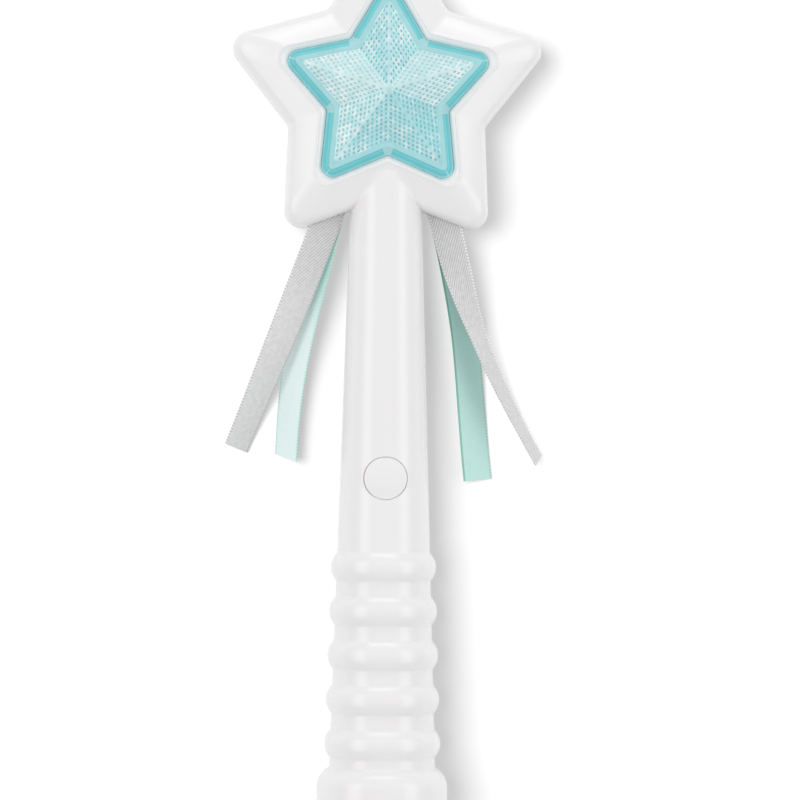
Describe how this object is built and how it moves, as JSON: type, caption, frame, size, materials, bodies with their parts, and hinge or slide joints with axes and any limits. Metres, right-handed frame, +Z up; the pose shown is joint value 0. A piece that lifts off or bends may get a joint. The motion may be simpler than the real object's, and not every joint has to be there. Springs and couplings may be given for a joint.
{
  "type": "toy magic wand",
  "caption": "Light-up toy wand with a star head behind a faceted lens, a tapered shaft with a push button, a ribbed grip, a round pommel and satin ribbons at the neck.",
  "frame": {"origin": "on the table, under the middle of the lying wand's length and width", "axes": "+Y along the wand from its pommel toward its star, +X to the right of its front, +Z up out of its front; it lies on its back, resting on the pommel's belly and the star's flat back"},
  "size_m": [0.1079, 0.2994, 0.0436],
  "materials": {
    "white_abs": "satin gloss moulded ABS",
    "teal_lens": "tinted clear polystyrene with a prismatic crown",
    "silicone": "matt moulded silicone rubber",
    "circuit_board": "green solder mask",
    "black_epoxy": "potting blob",
    "resistor_body": "tan lacquer",
    "zinc_steel": "zinc plated",
    "nickel_steel": "nickel plated",
    "lamp_plastic": "milky clear epoxy",
    "cell_can": "printed jacket, left plain",
    "red_insulation": "soft insulation",
    "black_insulation": "soft insulation",
    "grey_satin": "satin ribbon with picot edges",
    "mint_satin": "satin ribbon with picot edges"
  },
  "bodies": {
    "wand": {"front_shell": "white_abs", "rear_shell": "white_abs", "star_lens": "teal_lens", "rubber_dome": "silicone", "main_board": "circuit_board", "controller_chip": "black_epoxy", "resistors": "resistor_body", "board_screws": "zinc_steel", "led_board": "circuit_board", "leds": "lamp_plastic", "battery_holder": "white_abs", "battery_cells": "cell_can", "battery_springs": "nickel_steel", "link_plate": "nickel_steel", "positive_plate": "nickel_steel", "negative_plate": "nickel_steel", "shell_screws": "zinc_steel", "red_wires": "red_insulation", "black_wires": "black_insulation", "left_grey_ribbon": "grey_satin", "left_mint_ribbon": "mint_satin", "right_grey_ribbon": "grey_satin", "right_mint_ribbon": "mint_satin"},
    "button": {"button_cap": "white_abs"},
    "battery_cover": {"battery_door": "white_abs", "door_screw": "zinc_steel"}
  },
  "joints": [
    {"name": "button_press", "type": "slide", "parent": "wand", "child": "button", "axis": [0, -0.0338, -0.9994], "range_m": [0, 0.0012], "stiffness_N_per_m": 600, "deforming": ["rubber_dome"]},
    {"name": "battery_door_lift", "type": "slide", "parent": "wand", "child": "battery_cover", "axis": [0, -0.0338, -0.9994], "range_m": [0, 0.02]}
  ]
}
